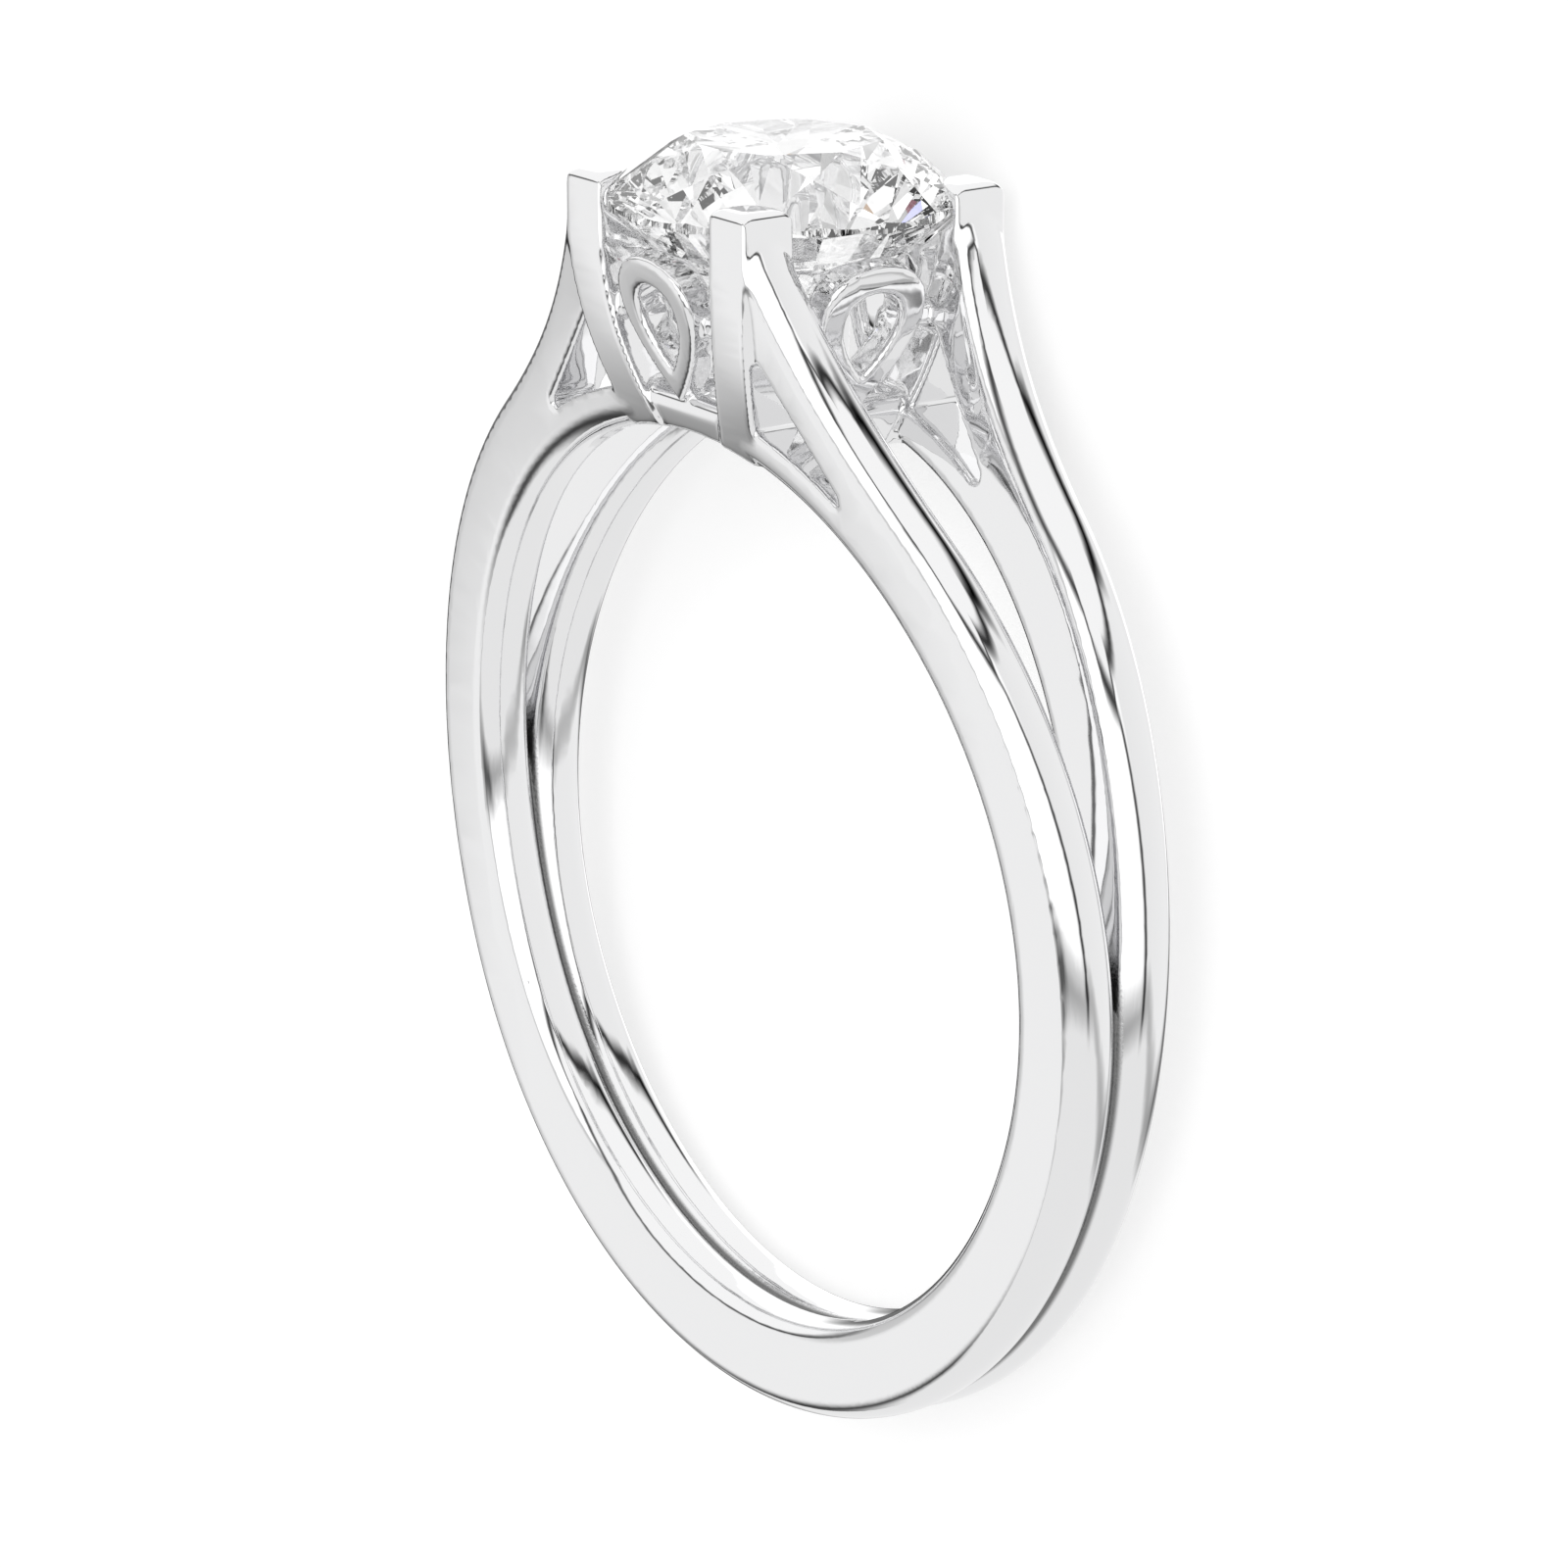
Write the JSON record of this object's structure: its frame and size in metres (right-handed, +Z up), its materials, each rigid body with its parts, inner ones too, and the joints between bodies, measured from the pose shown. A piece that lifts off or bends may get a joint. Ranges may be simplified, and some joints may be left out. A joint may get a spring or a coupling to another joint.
{
  "type": "split shank ring",
  "caption": "Finger ring with a split shank, pierced shoulders and a square four-post head with pear-shaped loops under a round brilliant.",
  "frame": {"origin": "middle of the bounding box at the level of the surface the ring lies on", "axes": "+Y towards the stone, +Z up, across the ring's side; the finger hole's axis leans 5.5 degrees from +Z towards -Y, as the ring lies by itself on the side of its band and on the stone's girdle"},
  "size_m": [0.02, 0.0234, 0.0062],
  "materials": {
    "white_metal": "mirror-polished white gold",
    "stone": "clear colourless faceted gem"
  },
  "bodies": {
    "root": {"ring_mount": "white_metal", "centre_stone": "stone"}
  },
  "joints": []
}
